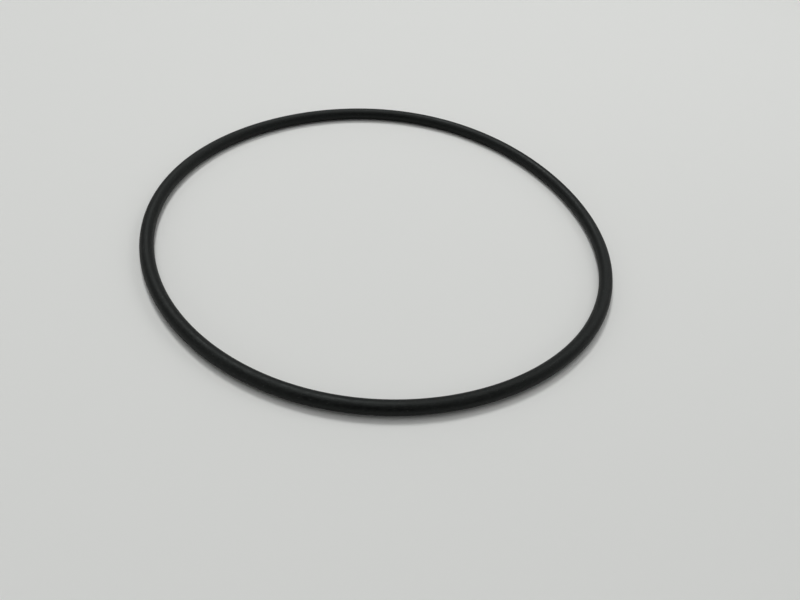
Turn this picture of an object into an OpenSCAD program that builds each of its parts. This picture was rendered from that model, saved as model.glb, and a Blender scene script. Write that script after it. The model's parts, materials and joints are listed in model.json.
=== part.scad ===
// Rubber o-ring: one moulded ring with a round section, lying flat.
// Origin: on the ring's axis, level with the surface that the ring lies on. +Z is up, along the axis.

/* [Ring] */
// Inside diameter of the relaxed ring
inside_d = 180; // [120:1:240]
// Diameter of the round section
section_d = 5.3; // [3.5:0.1:7]

/* [Parting line] */
// Height that the line left between the two mould halves stands proud
parting_h = 0.04; // [0.01:0.01:0.1]
// Width of that line at its foot
parting_w = 0.2; // [0.1:0.05:0.4]

/* [Hidden] */
$fn = 192;

section_r = section_d / 2;
centreline_r = inside_d / 2 + section_r;
parting_foot = sqrt(pow(section_r, 2) - pow(parting_w / 2, 2));
parting_rise = section_r + parting_h - parting_foot;
parting_r = (pow(parting_rise, 2) + pow(parting_w / 2, 2)) / (2 * parting_rise);
rubber_black = [0.08, 0.08, 0.08];

// Low round bead at the section's two widest points, where the mould halves met. Its circle
// passes through the top of the line and through both sides of its foot on the section.
module parting_line() {
    for (side = [-1, 1])
        translate([side * (section_r + parting_h - parting_r), 0])
            circle(r = parting_r);
}

module section() {
    circle(r = section_r);
    parting_line();
}

// The section carried once round the axis, its lowest point on the surface below.
module o_ring() {
    color(rubber_black)
        translate([0, 0, section_r])
            rotate_extrude()
                translate([centreline_r, 0])
                    section();
}

o_ring();
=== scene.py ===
import json
from math import cos, pi, radians, sin, sqrt

import bpy
import numpy as np
from mathutils import Matrix, Vector


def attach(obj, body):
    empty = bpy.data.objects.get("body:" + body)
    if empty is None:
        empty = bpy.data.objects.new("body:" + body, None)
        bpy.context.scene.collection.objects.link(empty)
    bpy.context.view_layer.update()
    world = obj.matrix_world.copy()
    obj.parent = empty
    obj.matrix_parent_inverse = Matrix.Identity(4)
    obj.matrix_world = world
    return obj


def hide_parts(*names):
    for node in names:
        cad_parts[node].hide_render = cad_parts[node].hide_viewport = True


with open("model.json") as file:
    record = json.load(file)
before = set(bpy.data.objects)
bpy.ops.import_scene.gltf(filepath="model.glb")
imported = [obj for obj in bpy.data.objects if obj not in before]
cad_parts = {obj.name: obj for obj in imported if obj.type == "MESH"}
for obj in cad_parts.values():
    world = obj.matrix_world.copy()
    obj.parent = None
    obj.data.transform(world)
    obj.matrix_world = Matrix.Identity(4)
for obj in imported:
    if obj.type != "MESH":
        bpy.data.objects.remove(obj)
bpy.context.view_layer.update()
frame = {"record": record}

# The ring: black nitrile rubber, moulded in one piece between two heated plates. It has no join, only
# the low bead where the plates met, round the inside and the outside at half its height. It was packed
# loose, so it lies a little out of round, by half a millimetre in three lobes and in four.
scene = bpy.context.scene
mounts = {mount["name"]: mount["dims"] for mount in frame["record"]["mounts"]}
inside_r = mounts["groove_floor"]["r_mm"] / 1000
section_r = mounts["groove_floor"]["length_mm"] / 2000
centreline_r = inside_r + section_r
parting_height = 0.00004
parting_half_width = 0.0001
parting_rise = section_r + parting_height - sqrt(section_r ** 2 - parting_half_width ** 2)
parting_r = (parting_rise ** 2 + parting_half_width ** 2) / (2 * parting_rise)
steps_round = 960
steps_section = 96
crowding = 0.93
three_lobes = 0.00056
three_lobes_turn = radians(-34)
four_lobes = 0.00051
four_lobes_turn = radians(-14.6)


def section_angle(spread):
    """Angle round the section for an even parameter: the parameter less a share of half the sine of
    its double, so that the steps are short at 0 and 180 degrees, where the parting bead runs."""
    return spread - crowding * np.sin(2 * spread) / 2


def section_radius(angle):
    """Distance from the section's centre to its skin: the larger of the round section's radius and of
    the distance to a small circle set into it at 0 and at 180 degrees, which stands out as the bead."""
    inset = section_r + parting_height - parting_r
    reach = parting_r ** 2 - (inset * np.sin(angle)) ** 2
    bead = inset * np.abs(np.cos(angle)) + np.sqrt(np.maximum(reach, 0))
    return np.where(reach > 0, np.maximum(section_r, bead), section_r)


def ring_surface(turn, angle):
    """Points of the ring. turn runs once round the axis, and angle once round the section, from its
    outer side. The centreline is a circle whose radius swells by a cosine of three times and of four
    times the turn; the section stands square to it, with its lowest point at height 0."""
    lobe_3 = three_lobes * np.cos(3 * (turn - three_lobes_turn))
    lobe_4 = four_lobes * np.cos(4 * (turn - four_lobes_turn))
    slope_3 = -3 * three_lobes * np.sin(3 * (turn - three_lobes_turn))
    slope_4 = -4 * four_lobes * np.sin(4 * (turn - four_lobes_turn))
    reach = centreline_r + lobe_3 + lobe_4
    lean = turn - np.arctan2(slope_3 + slope_4, reach)
    out = section_radius(angle) * np.cos(angle)
    x = reach * np.cos(turn) + out * np.cos(lean)
    y = reach * np.sin(turn) + out * np.sin(lean)
    z = section_r + section_radius(angle) * np.sin(angle) + 0 * turn
    return np.stack([x, y, z], -1)


def closed_quads(rows, columns):
    """Corners of the quads of a grid that closes on itself both ways: each quad's own row and column,
    and the next ones, as a row array and a column array with the four corners last."""
    row, column = np.meshgrid(np.arange(rows), np.arange(columns), indexing="ij")
    return row[..., None] + np.array([0, 1, 1, 0]), column[..., None] + np.array([0, 0, 1, 1])


def laid_in_strips(corner_row, corner_column, strips=6, edge=0.01):
    """Places of the quads' corners on a square map. The skin is cut square across into equal lengths,
    which lie one above another; up each runs the angle round the section, with a thin edge left free."""
    rows_each = steps_round // strips
    strip = corner_row[..., :1] // rows_each
    along = corner_row / rows_each - strip
    across = section_angle(2 * pi * corner_column / steps_section) / (2 * pi)
    return np.stack([along, (strip + edge + (1 - 2 * edge) * across) / strips], -1)


turn = np.linspace(0, 2 * pi, steps_round, endpoint=False)[:, None]
angle = section_angle(np.linspace(0, 2 * pi, steps_section, endpoint=False))[None, :]
corner_row, corner_column = closed_quads(steps_round, steps_section)
quads = (corner_row % steps_round) * steps_section + corner_column % steps_section
ring_mesh = bpy.data.meshes.new("moulded_ring")
ring_mesh.from_pydata(ring_surface(turn, angle).reshape(-1, 3), [], quads.reshape(-1, 4))
skin_map = ring_mesh.uv_layers.new(name="OFBake")
skin_map.data.foreach_set("uv", laid_in_strips(corner_row, corner_column).ravel())
ring_mesh.shade_smooth()
ring = bpy.data.objects.new("moulded_ring", ring_mesh)
scene.collection.objects.link(ring)


class Signal:
    """One socket of a material's nodes. Sums, differences and products of signals and numbers add Math
    nodes; node() adds any other node."""

    def __init__(self, socket):
        self.socket = socket

    def node(self, kind, settings, inputs, output=0):
        """Adds a node of this kind, makes its settings, then gives its sockets their values or links,
        and returns one of its outputs."""
        tree = self.socket.id_data
        made = tree.nodes.new(kind)
        for name, setting in settings.items():
            setattr(made, name, setting)
        for name, value in inputs.items():
            if isinstance(value, Signal):
                tree.links.new(value.socket, made.inputs[name])
            else:
                made.inputs[name].default_value = value
        return Signal(made.outputs[output])

    def maths(self, operation, first, second=0.0):
        return self.node("ShaderNodeMath", {"operation": operation}, {0: first, 1: second})

    def vector(self, operation, second=(0, 0, 0), output="Vector"):
        return self.node("ShaderNodeVectorMath", {"operation": operation}, {0: self, 1: second}, output)

    def __add__(self, other):
        return self.maths("ADD", self, other)

    def __sub__(self, other):
        return self.maths("SUBTRACT", self, other)

    def __rsub__(self, other):
        return self.maths("SUBTRACT", other, self)

    def __mul__(self, other):
        return self.maths("MULTIPLY", self, other)

    __radd__ = __add__
    __rmul__ = __mul__

    def rise(self, start, end):
        """0 below start, 1 above end, and a smooth step between them."""
        return self.node(
            "ShaderNodeMapRange",
            {"interpolation_type": "SMOOTHSTEP"},
            {"Value": self, "From Min": start, "From Max": end},
        )

    def tint(self, low, high):
        """The colour low where this signal is 0, and high where it is 1."""
        return self.node("ShaderNodeMix", {"data_type": "RGBA"}, {0: self, 6: low, 7: high}, 2)

    def drawn_grain(self, length, width, detail=2.0):
        """Noise at this place, between 0 and 1, with spots drawn out round the ring. It is 4D noise that
        meets itself after a turn: of the heading on a circle of the centreline's length in spot lengths,
        and of the height and the reach from the centreline in spot widths."""
        flat = self.vector("MULTIPLY", (1, 1, 0))
        heading = flat.vector("NORMALIZE").vector("MULTIPLY", (centreline_r / length,) * 3)
        height = self.vector("MULTIPLY", (0, 0, 1 / width))
        reach = (flat.vector("LENGTH", output="Value") - centreline_r) * (1 / width)
        inputs = {"Vector": heading.vector("ADD", height), "W": reach, "Scale": 1.0, "Detail": detail}
        return self.node("ShaderNodeTexNoise", {"noise_dimensions": "4D"}, inputs)


def black_nitrile_rubber():
    """Near-black rubber as it left the mould. A grey bloom lies on it in drifts and in a fine mottle,
    rub marks run round it, and pale flecks of dust sit on it. The mould's turning lines and blasted
    grain stand in its skin, some thousandths of a millimetre high, and the trimmed bead is duller."""
    material = bpy.data.materials.new("black_nitrile_rubber")
    material.use_nodes = True
    tree = material.node_tree
    shader = tree.nodes["Principled BSDF"]
    shader.inputs["Specular IOR Level"].default_value = 0.235
    shader.inputs["Specular Tint"].default_value = (0.915, 1, 0.96, 1)
    place = Signal(tree.nodes.new("ShaderNodeTexCoord").outputs["Object"])

    drifts = place.drawn_grain(length=0.014, width=0.003, detail=3.0).rise(0.35, 0.7)
    mottle = place.drawn_grain(length=0.0012, width=0.0006, detail=3.0).rise(0.38, 0.64)
    rubs = place.drawn_grain(length=0.012, width=0.0004, detail=2.0).rise(0.6, 0.72)
    flecks = place.drawn_grain(length=0.0007, width=0.0004, detail=1.0).rise(0.66, 0.74)
    turned = place.drawn_grain(length=0.03, width=0.00012)
    blasted = place.node("ShaderNodeTexNoise", {}, {"Vector": place, "Scale": 11000.0, "Detail": 3.0})
    height = place.node("ShaderNodeSeparateXYZ", {}, {0: place}, "Z")
    bead = 1 - place.maths("ABSOLUTE", height - section_r).rise(0.00007, 0.00013)

    black = (0, 0, 0, 1)
    bloom_grey = (0.0065, 0.007, 0.0066, 1)
    rubbed_grey = (0.014, 0.0146, 0.014, 1)
    dust_grey = (0.035, 0.036, 0.035, 1)
    trimmed_grey = (0.012, 0.0122, 0.012, 1)
    bloomed = (0.35 * drifts + 0.65 * mottle).tint(black, bloom_grey)
    rubbed = (0.5 * rubs).tint(bloomed, rubbed_grey)
    dusty = (0.7 * flecks).tint(rubbed, dust_grey)
    trimmed = (0.5 * bead).tint(dusty, trimmed_grey)
    tree.links.new(trimmed.socket, shader.inputs["Base Color"])

    dullness = 0.44 + 0.06 * drifts + 0.1 * mottle - 0.06 * rubs + 0.08 * bead + 0.04 * turned
    tree.links.new(dullness.socket, shader.inputs["Roughness"])

    turned_height = 0.000005
    blasted_height = 0.000004
    mottle_height = 0.000022
    fleck_height = 0.00001
    skin = turned_height * turned + blasted_height * blasted + mottle_height * mottle + fleck_height * flecks
    bump = skin.node("ShaderNodeBump", {}, {"Strength": 1.0, "Distance": 1.0, "Height": skin})
    tree.links.new(bump.socket, shader.inputs["Normal"])
    return material


ring.data.materials.append(black_nitrile_rubber())
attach(ring, "root")
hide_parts("o_ring")

# The table: a plain matt white top, painted or laminated, with nothing on it but the ring. It is a
# single flat sheet, level with the lowest point of the ring's section.
table_half = 3.0
table_mesh = bpy.data.meshes.new("table_top")
corners = [(-1, -1), (1, -1), (1, 1), (-1, 1)]
table_mesh.from_pydata([(x * table_half, y * table_half, 0) for x, y in corners], [], [(0, 1, 2, 3)])
table = bpy.data.objects.new("table_top", table_mesh)
scene.collection.objects.link(table)
white = bpy.data.materials.new("matt_white_top")
white.use_nodes = True
white.node_tree.nodes["Principled BSDF"].inputs["Base Color"].default_value = (0.78, 0.79, 0.77, 1)
white.node_tree.nodes["Principled BSDF"].inputs["Roughness"].default_value = 0.8
table.data.materials.append(white)


# The light: a lamp high behind the ring and a little to the left, which throws its shadow, and plain
# soft boxes over it and round it, each turned to the ring's middle.
def light_box(name, place, width, depth, watts):
    data = bpy.data.lights.new(name, "AREA")
    data.shape = "RECTANGLE"
    data.size = width
    data.size_y = depth
    data.energy = watts
    box = bpy.data.objects.new(name, data)
    box.location = place
    box.rotation_euler = Vector(place).to_track_quat("Z", "Y").to_euler()
    scene.collection.objects.link(box)


light_box("lamp", (-0.4, 1.22, 2.14), 0.5, 0.5, 21)
light_box("box_over", (-0.1, 0, 0.9), 0.7, 0.7, 2.2)
light_box("box_right_behind", (0.5, 0.43, 0.65), 0.6, 0.37, 1.3)
light_box("box_left_behind", (-0.8, 0.45, 0.8), 0.8, 0.5, 0.9)
light_box("box_left", (-1.2, 0, 0.3), 1.6, 0.6, 0.6)
light_box("box_right", (1.2, 0.3, 0.4), 1.6, 0.8, 1.3)
light_box("box_left_front", (-0.8, -0.6, 0.35), 1.0, 0.5, 0.9)
light_box("box_right_front", (0.9, -0.5, 0.5), 0.8, 0.5, 0.7)
light_box("box_behind", (0, 1.7, 0.4), 3.0, 0.8, 2.4)
room = bpy.data.worlds.new("room")
room.use_nodes = True
room.node_tree.nodes["Background"].inputs["Color"].default_value = (1, 1, 1, 1)
room.node_tree.nodes["Background"].inputs["Strength"].default_value = 0.09
scene.world = room
scene.view_settings.view_transform = "Standard"

# The camera: held by hand in front of the ring and above it, a little turned and tipped to one side.
# Its lens is as wide as a phone's, and it stands nearer than three of the ring's radii.
camera_distance = 0.2791
camera_height = radians(38.44)
camera_yaw = radians(-2.20)
camera_pitch = radians(-5.69)
camera_roll = radians(-6.26)
camera_lens = 29.77
eye = camera_distance * Vector((0, -cos(camera_height), sin(camera_height)))
forward = -eye.normalized()
right = Vector((1, 0, 0))
up = right.cross(forward)
yaw = Matrix.Rotation(camera_yaw, 3, up)
forward, right = yaw @ forward, yaw @ right
pitch = Matrix.Rotation(camera_pitch, 3, right)
forward = pitch @ forward
up = right.cross(forward)
roll = Matrix.Rotation(camera_roll, 3, forward)
right, up = roll @ right, roll @ up
camera_data = bpy.data.cameras.new("camera")
camera_data.lens = camera_lens
camera_data.sensor_width = 36
camera_data.clip_start = 0.01
camera = bpy.data.objects.new("camera", camera_data)
camera.matrix_world = Matrix.Translation(eye) @ Matrix((right, up, -forward)).transposed().to_4x4()
scene.collection.objects.link(camera)
scene.camera = camera
